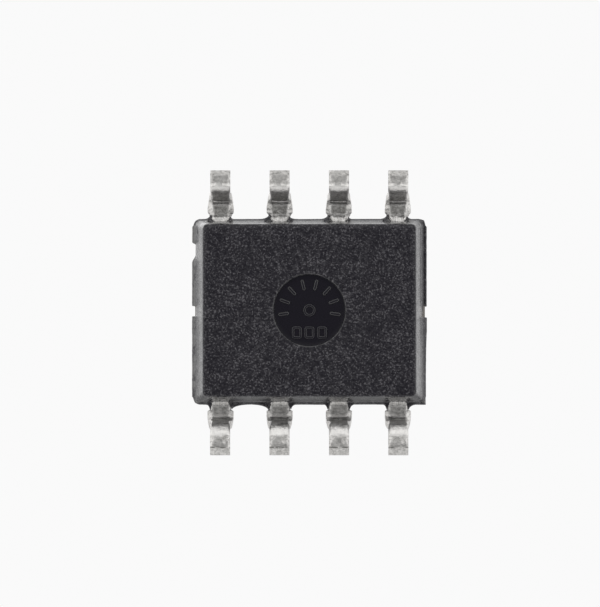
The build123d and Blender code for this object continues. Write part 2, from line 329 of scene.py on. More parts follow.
@dataclass(frozen=True)
class MouldedEpoxy(Finish):
    """Black moulding compound: spark-eroded faces, glossier drafted sides, a smooth ejector recess."""

    dark: Colour = (0.0060, 0.0050, 0.0100)
    pale: Colour = (0.135, 0.130, 0.141)
    # pale colour for the scuffs, and for the painted highlight on the recess's rim
    scuffed: Colour = (0.17, 0.168, 0.165)
    recess_radius: float = 0.775
    recess_top: float = 0.24
    face_bottom: float = 0.15
    face_top: float = 1.60
    corner: Point = (2.20, 1.76)
    mark_levels: tuple[float, float, float, float] = (0.1865, 0.190, 0.200, 0.207)
    relief: float = 0.015
    rough_face: float = 0.31
    rough_side: float = 0.30
    rough_recess: float = 0.26

    def draw(self, graph: Graph) -> None:
        """Build the compound's grain, its smooth recess, its glossy sides, the scuffs at its corners and a
        painted highlight on the recess's rim.
        """
        place = graph.place()
        level = graph.axis(place, 2)
        flat = graph.stretched(place, (1, 1, 0))
        across = graph.node("ShaderNodeVectorMath", {"operation": "LENGTH"}, flat, out=1)
        outside = across.step(self.recess_radius - 0.01, self.recess_radius)
        textured = outside.math("MAXIMUM", level.step(self.recess_top, self.recess_top + 0.02))
        side = level.step(self.face_bottom + 0.012, self.face_bottom + 0.04)
        side = side * (1 - level.step(self.face_top - 0.04, self.face_top - 0.012)) * outside
        grain = graph.noise(place, 22.0, 2.0, 0.6)
        pits = graph.cells(place, 18.0)
        relief = (grain * 0.7 + pits * 0.4) * textured * (1 - side * 0.25)
        cloud = graph.noise(place, 3.4, 2.0, 0.6) * 0.16
        blotches = (graph.noise(place, 12.0, 3.0, 0.7) + cloud).step(0.54, 0.82)
        specks = (graph.noise(place, 25.0, 2.0, 0.6) + cloud).step(0.60, 0.76)
        shade = (blotches * 0.3 + specks * 0.7) * textured
        # scuffs at the body's corners, and fainter ones along its sides
        along_x = abs(graph.axis(place, 0)).step(self.corner[0] - 0.14, self.corner[0] + 0.2)
        along_y = abs(graph.axis(place, 1)).step(self.corner[1] - 0.14, self.corner[1] + 0.2)
        scuff = graph.noise(place, 9.0, 3.0, 0.65).step(0.50, 0.66) * along_x * along_y
        scuff = scuff.math("MAXIMUM", graph.noise(place, 7.0, 3.0, 0.7).step(0.56, 0.72) * side * 0.45)
        left_flash = graph.axis(place, 0).step(-2.445, -2.47)
        left_flash = left_flash * graph.noise(place, 5.0, 3.0, 0.6).step(0.38, 0.56)
        scuff = scuff.math("MAXIMUM", left_flash * side * 0.7)
        # the walls of the marks, painted paler, and a painted highlight along the rim of the recess
        low, lower, high, higher = self.mark_levels
        walls = level.step(low, lower) * (1 - level.step(high, higher)) * (1 - outside)
        rim = across.step(0.772, 0.780) * (1 - across.step(0.790, 0.802)) * (1 - level.step(0.2, 0.22))
        pale_walls_and_rim_highlight = (walls * 0.42).math("MAXIMUM", rim * graph.noise(place, 8.0, 2.0, 0.6).step(0.32, 0.6) * 0.34)
        compound = graph.blend(shade, self.dark, self.pale)
        mottle = graph.noise(place, 13.0, 2.0, 0.6) * 0.24 - 0.12
        graph.surface(
            # the pale colour also paints the highlight on the recess's rim and the paler walls of the marks
            Base_Color=graph.blend(scuff.math("MAXIMUM", pale_walls_and_rim_highlight), compound, self.scuffed),
            Roughness=self.rough_recess
            + textured * (self.rough_face - self.rough_recess + mottle)
            + side * (self.rough_side - self.rough_face),
            Specular_IOR_Level=0.45,
            Coat_Weight=side * (0.55 + graph.noise(place, 10.0, 3.0, 0.65).step(0.30, 0.70) * 0.5),
            Coat_Roughness=0.24,
            Normal=graph.bump(relief, self.relief),
        )


@dataclass(frozen=True)
class TinPlate(Finish):
    """Matte tin on the formed leads: fine crystals, drag marks along the lead, a torn and stained toe."""

    dull: Colour = (0.52, 0.51, 0.495)
    # also the colour of the painted highlight on the heels
    bright: Colour = (0.94, 0.925, 0.90)
    # darker colour, both for real stains and for the painted shade under the shoulders and the painted
    # reflection on the soles
    stain: Colour = (0.22, 0.215, 0.205)
    front_toe: float = 2.885
    back_toe: float = 2.955
    half_pitch: float = 0.635

    def draw(self, graph: Graph) -> None:
        """Build the plate's crystals, drag marks, patchy sheen and the stained toe, with painted shade under
        the shoulders, a painted dark reflection on the soles and a painted highlight on the heels.
        """
        place = graph.place()
        crystals = graph.noise(place, 30.0, 2.0, 0.6)
        drags = graph.noise(graph.stretched(place, (24.0, 5.0, 5.0)), 1.0, 2.0, 0.6)
        patches = graph.noise(place, 8.0, 3.0, 0.65).step(0.34, 0.66)
        y = graph.axis(place, 1)
        back = y.step(-0.1, 0.1)
        reach = abs(y) - back * (self.back_toe - self.front_toe)
        toe = reach.step(self.front_toe - 0.004, self.front_toe + 0.012)
        flecks = graph.noise(place, 15.0, 3.0, 0.7).step(0.48, 0.66) * toe * 0.5
        flecks = flecks + toe * (1 - back) * 0.40
        # a darker line where the sole ends, stronger on the back row
        seam = abs(reach - (self.front_toe - 0.006)).step(0.026, 0.006) * (0.25 + back * 0.75)
        underneath = 1 - graph.axis(place, 2).step(0.08, 0.13)
        seam = seam * graph.noise(place, 9.0, 2.0, 0.6).step(0.36, 0.56) * underneath
        grain = graph.noise(place, 22.0, 2.0, 0.6).step(0.48, 0.66) * 0.42
        # painted shade under the shoulders, and a painted dark reflection in the middle of the soles
        level = graph.axis(place, 2)
        across = self.half_pitch - graph.axis(place, 0).math("PINGPONG", self.half_pitch)
        shoulder = (abs(y) + back * 0.05).step(2.08, 2.13) * (1 - abs(y).step(2.25, 2.31))
        shoulder = shoulder * level.step(0.60, 0.68) * (1 - level.step(0.84, 0.90))
        sole = (1 - level.step(0.02, 0.07)) * abs(y).step(2.67, 2.78)
        sole = sole * (1 - reach.step(self.front_toe - 0.02, self.front_toe))
        shoulder_shade_and_sole_reflection = shoulder * (0.86 - back * 0.26) + sole * 0.42
        # patchy strength of the painted shade and the painted reflection
        shade_patchiness = graph.noise(place, 14.0, 3.0, 0.65).step(0.30, 0.70)
        shoulder_shade_and_sole_reflection = shoulder_shade_and_sole_reflection * across.step(0.19, 0.12) * (0.55 + shade_patchiness * 0.6)
        # a painted highlight on the heels
        heel_highlight = abs(y).step(2.53, 2.60) * (1 - abs(y).step(2.67, 2.74)) * (1 - level.step(0.12, 0.22))
        grain = grain * (1 - heel_highlight * 0.7)
        sheen = patches * 0.65 + crystals * 0.35
        # the tin colour is pushed towards bright where the heel highlight is painted
        shade = graph.blend(sheen + (1 - sheen) * heel_highlight * 0.6, self.dull, self.bright)
        graph.surface(
            Base_Color=graph.blend(
                flecks.math("MAXIMUM", seam).math("MAXIMUM", grain).math("MAXIMUM", shoulder_shade_and_sole_reflection), shade, self.stain
            ),
            Metallic=1.0,
            Roughness=0.30 + patches * 0.08 + crystals * 0.14,
            Normal=graph.bump(crystals * 0.7 + drags * 0.3, 0.015),
        )


@dataclass(frozen=True)
class RolledCopper(Finish):
    """Bare copper strip of the paddle, with its rolling lines along X."""

    warm: Colour = (0.74, 0.37, 0.22)
    tarnish: Colour = (0.55, 0.42, 0.34)
    cut: Colour = (0.50, 0.47, 0.44)
    cut_from: float = 2.38

    def draw(self, graph: Graph) -> None:
        """Build the rolling lines, the faint tarnish and the grey cut ends of the tie bars."""
        place = graph.place()
        lines = graph.noise(graph.stretched(place, (1.5, 30.0, 30.0)), 1.0, 2.0, 0.6)
        cloud = graph.noise(place, 2.2, 3.0, 0.6).step(0.35, 0.75)
        ends = abs(graph.axis(place, 0)).step(self.cut_from, self.cut_from + 0.03)
        graph.surface(
            Base_Color=graph.blend(ends, graph.blend(cloud, self.warm, self.tarnish), self.cut),
            Metallic=1.0,
            Roughness=0.30 + lines * 0.15,
            Normal=graph.bump(lines, 0.003),
        )


@dataclass(frozen=True)
class SilverEpoxy(Finish):
    """Die adhesive full of silver flakes."""

    resin: Colour = (0.30, 0.29, 0.27)
    flake: Colour = (0.68, 0.67, 0.64)

    def draw(self, graph: Graph) -> None:
        """Build the flakes in the resin."""
        place = graph.place()
        flakes = graph.cells(place, 22.0).step(0.25, 0.5)
        graph.surface(
            Base_Color=graph.blend(flakes, self.resin, self.flake),
            Metallic=flakes * 0.6,
            Roughness=0.5,
            Normal=graph.bump(graph.noise(place, 18.0), 0.004),
        )


@dataclass(frozen=True)
class DieSilicon(Finish):
    """Silicon die, with metal tracks in fine blocks on its face."""

    silicon: Colour = (0.055, 0.060, 0.080)
    tracks: Colour = (0.42, 0.40, 0.36)

    def draw(self, graph: Graph) -> None:
        """Build the blocks of tracks, which only the upper face carries."""
        place = graph.place()
        blocks = graph.node("ShaderNodeTexVoronoi", {"distance": "CHEBYCHEV"}, Vector=place, Scale=5.0)
        lines = graph.axis(place, 1).math("PINGPONG", 0.03) * 33.0
        upper = graph.axis(place, 2).step(1.07, 1.079)
        face = blocks.step(0.28, 0.36) * lines.step(0.4, 0.6) * upper
        graph.surface(
            Base_Color=graph.blend(face, self.silicon, self.tracks),
            Metallic=face * 0.9,
            Roughness=0.22 + face * 0.15,
            Normal=graph.bump(face, 0.001),
        )


@dataclass(frozen=True)
class GoldWire(Finish):
    """Drawn gold wire."""

    gold: Colour = (0.93, 0.66, 0.27)
    pale: Colour = (0.97, 0.76, 0.42)

    def draw(self, graph: Graph) -> None:
        """Build the drawing marks."""
        place = graph.place()
        marks = graph.noise(place, 40.0, 2.0, 0.6)
        graph.surface(
            Base_Color=graph.blend(marks, self.gold, self.pale),
            Metallic=1.0,
            Roughness=0.2 + marks * 0.12,
            Normal=graph.bump(marks, 0.001),
        )


class Finishes(Enum):
    """The finishes of the chip, one for each material slot of the record."""

    MOULDING_COMPOUND = MouldedEpoxy("moulding_compound")
    TINNED_LEAD = TinPlate("tinned_lead")
    COPPER_FRAME = RolledCopper("copper_frame")
    SILVER_EPOXY = SilverEpoxy("silver_epoxy")
    SILICON = DieSilicon("silicon")
    GOLD_WIRE = GoldWire("gold_wire")


# ---- Meshes -----------------------------------------------------------------------------------
def grid_object(
    name: str, rows: Sequence[np.ndarray], finish: Finishes, start: bool, end: bool
) -> bpy.types.Object:
    """Skin closed loops of points into a smooth closed mesh.

    Args:
        name: The object's name.
        rows: Loops of equal length, each an array of points in millimetres.
        finish: The finish to put on it.
        start: Whether to close the first loop with a fan.
        end: Whether to close the last loop with a fan.

    Returns:
        The object, linked to the scene.
    """
    count, turns = len(rows[0]), len(rows)
    points = np.vstack([*rows, rows[0].mean(axis=0), rows[-1].mean(axis=0)]) * METRE
    faces: list[tuple[int, ...]] = []
    for r in range(turns - 1):
        low, high = r * count, (r + 1) * count
        faces += [(low + i, low + (i + 1) % count, high + (i + 1) % count, high + i) for i in range(count)]
    first, last, top = turns * count, turns * count + 1, (turns - 1) * count
    if start:
        faces += [(first, (i + 1) % count, i) for i in range(count)]
    if end:
        faces += [(last, top + i, top + (i + 1) % count) for i in range(count)]
    mesh = bpy.data.meshes.new(name)
    mesh.from_pydata(points.tolist(), [], faces)
    mesh.validate()
    mesh.shade_smooth()
    made = bpy.data.objects.new(name, mesh)
    bpy.context.scene.collection.objects.link(made)
    mesh.materials.append(finish.value.material())
    return made


def settle(piece: bpy.types.Object, finish: Finishes, *nodes: str) -> None:
    """Fix a piece to the chip and hide the CAD nodes it stands for.

    Args:
        piece: The piece.
        finish: Not used.
        nodes: The CAD nodes it replaces.
    """
    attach(piece, ROOT)
    if nodes:
        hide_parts(*nodes)
    LOG.info("%s: %d faces", piece.name, len(piece.data.polygons))


def ease(value: float, start: float, end: float) -> float:
    """Rise smoothly from 0 to 1 between two values.

    Args:
        value: The value.
        start: Where the result is 0.
        end: Where the result is 1.

    Returns:
        The smoothed step.
    """
    t = min(max((value - start) / (end - start), 0.0), 1.0)
    return t * t * (3 - 2 * t)


def rough(x: float, y: float, z: float, per_mm: float) -> float:
    """Return noise from -1 to 1 at a place.

    Args:
        x: The place along X.
        y: The place along Y.
        z: The place along Z.
        per_mm: How many lumps there are in a millimetre.

    Returns:
        The noise.
    """
    return noise.noise(Vector((x, y, z)) * per_mm)


# ---- Leads ------------------------------------------------------------------------------------
# the rolled-over edge of the strip, from the underside to the side, as shares of its width and height
ROLLOVER = ((0.12, 0.03), (0.36, 0.20), (0.62, 0.46), (0.84, 0.72), (0.96, 0.88), (1.0, 1.0))


@dataclass
class Station:
    """One cross-section of a lead on its way from the finger's tip to the toe."""

    reach: float  # of the underside, from the chip's centre line
    level: float  # of the underside
    lean: float  # of the section, in radians; 0 where the strip is level
    run: float  # along the underside, from the body's side


@dataclass
class Lead:
    """A stamped and formed lead: finger, neck, dam-bar stubs, two bends and a sheared toe."""

    number: int
    centre: float
    side: int
    thickness: float = 0.20
    frame_level: float = 0.775
    body_side: float = 1.95
    half_neck: float = 0.165
    half_flare: float = 0.232
    half_stub: float = 0.28
    half_strip: float = 0.215
    flare_run: float = 0.18
    stub_step: float = 0.03
    half_shank: float = 0.196
    upper_radius: float = 0.10
    toe_level: float = 0.15
    finger_reach: float = 0.68
    half_finger: float = 0.30
    corner_reach: float = 1.40
    corner_outer: float = 0.12
    corner_inner: float = 0.42
    corner_step: float = 0.55
    arch: float = 0.12  # of the sole's rounded heel end
    drift: float = 0.0  # of the lead along X, as it was formed
    flare_power: float = 0.8
    stub_taper: Point = field(init=False)  # from its full width to the shank's, at runs along the underside
    bend: float = field(init=False)
    lower_radius: float = field(init=False)
    rollover: tuple[Point, ...] = field(init=False)  # its width, at runs along the underside
    shoulder: float = field(init=False)
    sole: float = field(init=False)
    bevel: float = field(init=False)
    ramp: float = field(init=False)
    ledge_bow: float = field(init=False)
    ledge_rise: Point = field(init=False)
    ledge_height: float = field(init=False)
    dent: float = field(init=False)

    def __post_init__(self) -> None:
        """Give each row the shoulder, sole and toe that its forming tool left."""
        front = self.side < 0
        self.shoulder = 0.40 if front else 0.37
        self.stub_taper = (0.27, 0.62) if front else (0.29, 0.54)
        self.bend = 74.0 if front else 79.0
        self.lower_radius = 0.20 if front else 0.36
        self.sole = 0.346 if front else 0.482
        self.bevel = 0.09 if front else 0.16
        self.ramp = 0.085 if front else 0.046
        self.ledge_bow = 0.05 if front else -0.05
        self.ledge_rise = (0.03, 0.16) if front else (0.19, 0.29)
        self.ledge_height = 0.024 if front else 0.020
        self.dent = 0.09 if front else 0.13
        if front:
            self.half_flare = 0.262
            self.rollover = (
                (0.03, 0.05),
                (0.125, 0.105),
                (0.20, 0.13),
                (0.28, 0.085),
                (0.40, 0.080),
                (0.50, 0.03),
            )
        else:
            self.half_neck = 0.170
            self.flare_power = 0.55
            self.rollover = ((0.03, 0.028), (0.12, 0.038), (0.20, 0.07), (0.38, 0.075), (0.47, 0.03))

    @property
    def name(self) -> str:
        """The lead's name, which is its CAD node's too."""
        return f"lead_{self.number}"

    @property
    def is_corner(self) -> bool:
        """Whether the lead is the last of its row."""
        return abs(self.centre) > 1.27

    @staticmethod
    def _straight(start: Point, end: Point, lean: float, step: float) -> list[Triple]:
        """Divide a straight stretch of the underside.

        Args:
            start: Its first point, as reach and level.
            end: Its last point.
            lean: The section's lean.
            step: The longest division.

        Returns:
            Reach, level and lean of each division, without the last point.
        """
        count = max(2, math.ceil(math.dist(start, end) / step))
        spread = [i / count for i in range(count)]
        reach, level = end[0] - start[0], end[1] - start[1]
        return [(start[0] + reach * t, start[1] + level * t, lean) for t in spread]

    def _down(self, start: Point, run: float) -> Point:
        """Return the point a run further down the shank.

        Args:
            start: A point of the shank, as reach and level.
            run: How far to go.

        Returns:
            The point reached.
        """
        bend = math.radians(self.bend)
        return start[0] + run * math.cos(bend), start[1] - run * math.sin(bend)

    def stations(self) -> list[Station]:
        """Return the cross-sections along the underside, from the finger's tip to the toe's end.

        Returns:
            The stations, in order.
        """
        bend = math.radians(self.bend)
        half_turn = math.tan(bend / 2)
        corner = self.body_side + self.shoulder
        heel = corner + self.frame_level / math.tan(bend)
        arc_start = corner - self.upper_radius * half_turn
        sole_start = heel + self.lower_radius * half_turn
        sole_end = heel + self.sole
        tip = self.body_side - (self.corner_reach if self.is_corner else self.finger_reach)
        mouth = self.body_side - 0.03
        upper = [
            (
                arc_start + self.upper_radius * math.sin(turn),
                self.frame_level - self.upper_radius * (1 - math.cos(turn)),
                turn,
            )
            for turn in np.linspace(0, bend, 12)
        ]
        lower = [
            (
                sole_start - self.lower_radius * math.sin(turn),
                self.lower_radius * (1 - math.cos(turn)),
                turn,
            )
            for turn in np.linspace(bend, 0, 22)
        ]
        below = self._down(upper[-1][:2], 0.07)
        path = self._straight((tip, self.frame_level), (mouth, self.frame_level), 0.0, 0.06)
        path += self._straight((mouth, self.frame_level), (arc_start, self.frame_level), 0.0, 0.0125)
        path += upper
        path += self._straight(upper[-1][:2], below, bend, 0.005)[1:]
        path += self._straight(below, lower[0][:2], bend, 0.014)
        path += lower
        path += self._straight((sole_start, 0.0), (sole_end, 0.0), 0.0, 0.014)[1:]
        path += self._straight((sole_end, 0.0), (sole_end + self.bevel, self.toe_level), 0.0, 0.011)
        path += [(sole_end + self.bevel, self.toe_level, 0.0)]
        made, run = [], tip - self.body_side
        for i, (reach, level, lean) in enumerate(path):
            if i:
                run += math.dist(path[i - 1][:2], (reach, level))
            made.append(Station(reach, level, lean, run))
        return made

    def flanks(self, at: Station) -> Point:
        """Return how far the strip reaches to each side of its centre at a station.

        Args:
            at: The station.

        Returns:
            The widths towards -X and towards +X.
        """
        if at.run < 0:
            return self._finger_flanks(at)
        flare = min(at.run / self.flare_run, 1.0) ** self.flare_power
        neck = self.half_neck + (self.half_flare - self.half_neck) * flare
        half = neck + (self.half_stub - self.half_flare) * ease(
            at.run, self.flare_run - self.stub_step / 2, self.flare_run + self.stub_step / 2
        )
        if at.run > self.stub_taper[0]:
            taper = 1 - ease(at.run, *self.stub_taper)
            shank = self.half_strip + (self.half_shank - self.half_strip) * ease(at.level, 0.10, 0.40)
            half = shank + (self.half_stub - shank) * taper
        return half, half

    def _finger_flanks(self, at: Station) -> Point:
        """Return the widths of the hidden finger.

        Args:
            at: A station inside the body.

        Returns:
            The widths towards -X and towards +X.
        """
        inside = -at.run
        if not self.is_corner:
            half = self.half_neck + (self.half_finger - self.half_neck) * ease(inside, 0.08, 0.22)
            return half, half
        inner = self.half_neck + (self.corner_inner - self.half_neck) * ease(
            inside, self.corner_step, self.corner_step + 0.2
        )
        outer = self.half_neck + (self.corner_outer - self.half_neck) * ease(inside, 0.05, 0.15)
        return (inner, outer) if self.centre > 0 else (outer, inner)

    def _edge(self, at: Station) -> Point:
        """Return the width and the height of the rolled-over edge of the underside.

        Args:
            at: The station.

        Returns:
            The width across the strip and the height square to it.
        """
        onto_sole = at.reach - self._heel_start()
        runs, widths = zip(*self.rollover)
        width = float(np.interp(at.run, runs, widths))
        width += (0.045 - width) * (1 - ease(at.level, 0.04, 0.30))
        if -0.05 < onto_sole < self.arch:
            width += 0.10 * (1 - math.sqrt(max(1 - (1 - max(onto_sole, 0.0) / self.arch) ** 2, 0.0)))
        width *= 1 + 0.22 * rough(at.run, 3.0 * self.number, 1.0, 14.0)
        return width, min(0.72 * width, 0.072)

    def section(self, at: Station) -> np.ndarray:
        """Return the cross-section at a station as a closed loop of points.

        Args:
            at: The station.

        Returns:
            The loop, in millimetres, in the row frame.
        """
        left, right = self.flanks(at)
        full = self.thickness - (at.level if at.reach > self._sole_end() else 0.0)
        width, height = self._edge(at)
        height = min(height, 0.45 * full)
        far = min(0.02, 0.3 * full)
        flat = left + right - 2 * width
        crown = left + right - 2 * far
        arc = [(far * (1 - math.cos(a)), full - far * (1 - math.sin(a))) for a in (0.6, 1.1, math.pi / 2)]
        rises = [height + (full - height - far) * t for t in (0.33, 0.67, 1.0)]
        loop: list[Point] = [(-left + width + flat * t, 0.0) for t in np.linspace(0, 1, 25)]
        loop += [(right - width + width * a, height * b) for a, b in ROLLOVER]
        loop += [(right, rise) for rise in rises]
        loop += [(right - x, h) for x, h in arc]
        loop += [(right - far - crown * t, full) for t in np.linspace(0, 1, 11)[1:-1]]
        loop += [(-left + x, h) for x, h in reversed(arc)]
        loop += [(-left, rise) for rise in reversed(rises)]
        loop += [(-left + width - width * a, height * b) for a, b in reversed(ROLLOVER)]
        return np.array([self._worked(at, x, h, full) for x, h in loop])

    def _heel_start(self) -> float:
        """Return where the heel's bend leaves the sole, from the chip's centre line.

        Returns:
            Its reach.
        """
        bend = math.radians(self.bend)
        corner = self.body_side + self.shoulder + self.frame_level / math.tan(bend)
        return corner + self.lower_radius * math.tan(bend / 2)

    def _sole_end(self) -> float:
        """Return where the flat sole ends, from the chip's centre line."""
        heel = self.body_side + self.shoulder + self.frame_level / math.tan(math.radians(self.bend))
        return heel + self.sole

    def _worked(self, at: Station, x: float, height: float, full: float) -> tuple[float, float, float]:
        """Place a point of a section, with the dents and tears that forming left.

        Args:
            at: The station.
            x: Across the strip, from its centre.
            height: Above the underside, square to the strip.
            full: The strip's thickness here.

        Returns:
            The point in millimetres, in the row frame.
        """
        seed = 7.3 * self.number
        low = 1.0 - height / full  # 1 on the underside
        outside = ease(at.run, 0.0, 0.05)
        onto_sole = at.reach - self._heel_start()
        # waves across the strip, and finer unevenness
        lift = outside * 0.0055 * rough(x * 0.4 + seed, at.run, height, 9.0)
        lift += outside * 0.0030 * rough(x, at.run + seed, height, 24.0)
        # a ramp of plating where the neck leaves the compound
        ramp = self.ramp * (1 + 0.35 * rough(x, seed, 2.0, 22.0))
        onto_ramp = max(ramp - max(at.run, 0.0), 0.0) * low * ease(at.run, -0.05, 0.0)
        ripple = 1 + math.cos(x * 74 + seed + rough(x, seed, 1.0, 9.0))
        lift -= onto_ramp * 0.30 + min(onto_ramp * 0.5, 0.009) * ripple
        # the coined ledge that the forming tool left below the upper bend
        ledge = self._ledge_run() + self.ledge_bow * (x / 0.2) ** 2
        proud = ease(at.run, *self.ledge_rise) * (1 - min(max((at.run - ledge) / 0.020, 0.0), 1.0))
        lift -= self.ledge_height * proud * low * (1 - ease(abs(x), 0.17, 0.22))
        # a tool dent where the heel meets the sole, on the +X side
        narrow = 0.052 * (1 - ease(onto_sole, -0.02, self.dent))
        if narrow > 0.004:
            inside_dent = 1 - ease(abs(x - 0.095), narrow * 0.6, narrow)
            slope = max(self.dent - max(onto_sole, 0.0), 0.0) * 0.33 * ease(onto_sole, -0.10, 0.0)
            lift += slope * inside_dent * low
        # a sheared, torn slope at the toe
        sole_end = self._sole_end()
        torn = ease(at.reach, sole_end - 0.004, sole_end + 0.02) * low
        tear = 0.012 * rough(x + seed, at.reach, seed, 16.0) + 0.008 * rough(x, at.reach + seed, 2.0, 38.0)
        lift += torn * tear
        lift += 0.014 * math.exp(-(((at.reach - sole_end) / 0.012) ** 2)) * low
        square = height + lift
        reach = at.reach + square * math.sin(at.lean)
        level = max(at.level + square * math.cos(at.lean), 0.0)
        across = x + 0.003 * outside * rough(at.run + seed, x * 3, height * 4, 9.0)
        if full > 0.19 or height > 0:
            cut = ease(at.run, 0.19, 0.22) * ease(at.level, 0.36, 0.6)
            chatter = rough(at.run * 2, height * 2, seed + math.copysign(3, x), 11.0)
            across += math.copysign(0.006, x) * cut * chatter
        return self.centre + self.drift + across, self.side * reach, level

    def _ledge_run(self) -> float:
        """Return where the ledge below the upper bend starts, along the underside."""
        bend = math.radians(self.bend)
        return self.shoulder - self.upper_radius * math.tan(bend / 2) + self.upper_radius * bend + 0.004

    def build(self) -> bpy.types.Object:
        """Build the lead's mesh, with a rounded finger tip and a rough toe end.

        Returns:
            The lead.
        """
        loops = [self.section(at) for at in self.stations()]
        if self.side > 0:
            loops = [loop[::-1] for loop in loops]
        return grid_object(self.name, loops, Finishes.TINNED_LEAD, start=True, end=True)


# ---- Body -------------------------------------------------------------------------------------
@dataclass(frozen=True)
class Web:
    """How the side flash climbs one flank of a lead."""

    climb: float  # of the apex, out from the body's side
    run: float  # along the body's side


@dataclass(frozen=True)
class Break:
    """A stretch of end flash that was broken out or never filled."""

    start: float  # along Y
    end: float
    depth: float  # out from the body's end, of what is left
    ramp_in: float  # along Y
    ramp_out: float


@dataclass
class Body:
    """The moulded body: drafted faces, ejector recess, pin-one dimple and ragged flash."""

    half_length: float = 2.45
    half_width: float = 1.95
    parting_radius: float = 0.12
    face_half_length: float = 2.297
    face_half_width: float = 1.862
    bottom: float = 0.15
    flash_bottom: float = 0.779
    root_level: float = 0.62
    flash_top: float = 0.971
    top: float = 1.60
    edge_radius: float = 0.040
    roll: Point = (0.13, 0.022)  # how far in from its edge a face starts to fall away, and how much it falls
    recess_radius: float = 0.775
    recess_depth: float = 0.06
    dimple_radius: float = 0.25
    dimple_depth: float = 0.05
    dimple_place: Point = (-1.56, -1.19)
    lip: float = 0.016  # the radius of a hollow's rim
    flash_edge: float = 0.016  # the radius of the flash's edge
    web_from: float = 1.9  # how far along Y the webs beside the leads start
    lower_face_loops: int = 38
    upper_face_loops: int = 26
    side_loops: int = 8
    side_flash: float = 0.052
    end_flash: float = 0.078
    flank_inner: float = 0.165
    flank_outer: float = 0.25
    flank_climb: float = 0.18
    lead_centres: tuple[float, ...] = (-1.905, -0.635, 0.635, 1.905)
    # for each lead of a row, the web on its -X flank and the web on its +X flank
    front_webs: tuple[tuple[Web, Web], ...] = (
        (Web(0.150, 0.13), Web(0.105, 0.07)),
        (Web(0.155, 0.21), Web(0.110, 0.17)),
        (Web(0.150, 0.18), Web(0.105, 0.09)),
        (Web(0.150, 0.17), Web(0.110, 0.10)),
    )
    back_webs: tuple[tuple[Web, Web], ...] = (
        (Web(0.165, 0.08), Web(0.160, 0.38)),
        (Web(0.178, 0.36), Web(0.170, 0.11)),
        (Web(0.175, 0.08), Web(0.165, 0.10)),
        (Web(0.170, 0.08), Web(0.165, 0.17)),
    )
    left_breaks: tuple[Break, ...] = (
        Break(-1.50, -1.06, 0.004, 0.05, 0.17),
        Break(-0.132, 0.106, 0.002, 0.02, 0.02),
    )
    right_breaks: tuple[Break, ...] = (Break(-0.117, 0.129, 0.002, 0.015, 0.015),)
    # how far the side curves out into the flash under it: 0 for a sharp corner, 1 for a full fillet
    root_front: float = 0.85
    root_back: float = 0.12
    root_left: float = 1.0
    root_right: Point = (0.0, 0.6)  # before and after the tie bar

    def side_climb(self, x: float, webs: Sequence[tuple[Web, Web]]) -> float:
        """Return how far the flash stands out from the body's side at a place.

        Args:
            x: The place along the side.
            webs: The webs of the row's leads.

        Returns:
            The flash's reach.
        """
        climb = self.side_flash + 0.006 * rough(x, 4.0 + len(webs), webs[0][0].run * 9, 2.3)
        for centre, pair in zip(self.lead_centres, webs):
            away = abs(x - centre)
            web = pair[0] if x < centre else pair[1]
            flank = (away - self.flank_inner) / (self.flank_outer - self.flank_inner) * self.flank_climb
            apex = self.flank_inner + web.climb / self.flank_climb * (self.flank_outer - self.flank_inner)
            if away <= self.flank_inner:
                return 0.002
            if away <= apex:
                return min(flank + 0.012, web.climb)
            if away < apex + web.run:
                t = 1 - (away - apex) / web.run
                hang = 1 - math.sqrt(1 - t * t)
                climb = max(climb, self.side_flash + (web.climb - self.side_flash) * hang)
        return climb

    def end_climb(self, y: float, side: int) -> float:
        """Return how far the flash stands out from the body's end at a place.

        Args:
            y: The place along the end.
            side: -1 for the left end and 1 for the right end.

        Returns:
            The flash's reach.
        """
        climb = self.end_flash + 0.005 * rough(y, 9.0 * side, 1.0, 2.0) + 0.0025 * rough(y, side, 5.0, 9.0)
        if side > 0:
            climb += 0.0026 - 0.0186 * ease(y, 0.3, 1.3)
        for gap in self.left_breaks if side < 0 else self.right_breaks:
            begun = ease(y, gap.start, gap.start + gap.ramp_in)
            kept = 1 - begun * (1 - ease(y, gap.end - gap.ramp_out, gap.end))
            climb = gap.depth + (climb - gap.depth) * kept
        return climb

    def _side_places(self) -> list[float]:
        """Return the sampled places along a long side, closer together at the leads.

        Returns:
            The places along X, in rising order.
        """
        limit = self.half_length - self.parting_radius
        places = list(np.linspace(-limit, limit, 100))
        for centre in self.lead_centres:
            for sign in (-1, 1):
                places += [centre + sign * a for a in np.linspace(self.flank_inner, self.flank_outer, 7)]
                places += [centre + sign * (self.flank_outer + a) for a in (0.012, 0.026, 0.044, 0.066)]
        return self._spaced(places, 0.008)

    def _end_places(self, side: int) -> list[float]:
        """Return the sampled places along a short end, closer together at the breaks.

        Args:
            side: -1 for the left end and 1 for the right end.

        Returns:
            The places along Y, in rising order.
        """
        limit = self.half_width - self.parting_radius
        places = list(np.linspace(-limit, limit, 96))
        for gap in self.left_breaks if side < 0 else self.right_breaks:
            places += list(np.linspace(gap.start, gap.start + gap.ramp_in, 5))
            places += list(np.linspace(gap.end - gap.ramp_out, gap.end, 5))
        return self._spaced(places, 0.004)

    @staticmethod
    def _spaced(places: Iterable[float], least: float) -> list[float]:
        """Sort places and drop those that crowd the one before.

        Args:
            places: The places.
            least: The least distance between two of them.

        Returns:
            The places that are kept.
        """
        kept: list[float] = []
        for place in sorted(places):
            if not kept or place - kept[-1] > least:
                kept.append(place)
        return kept

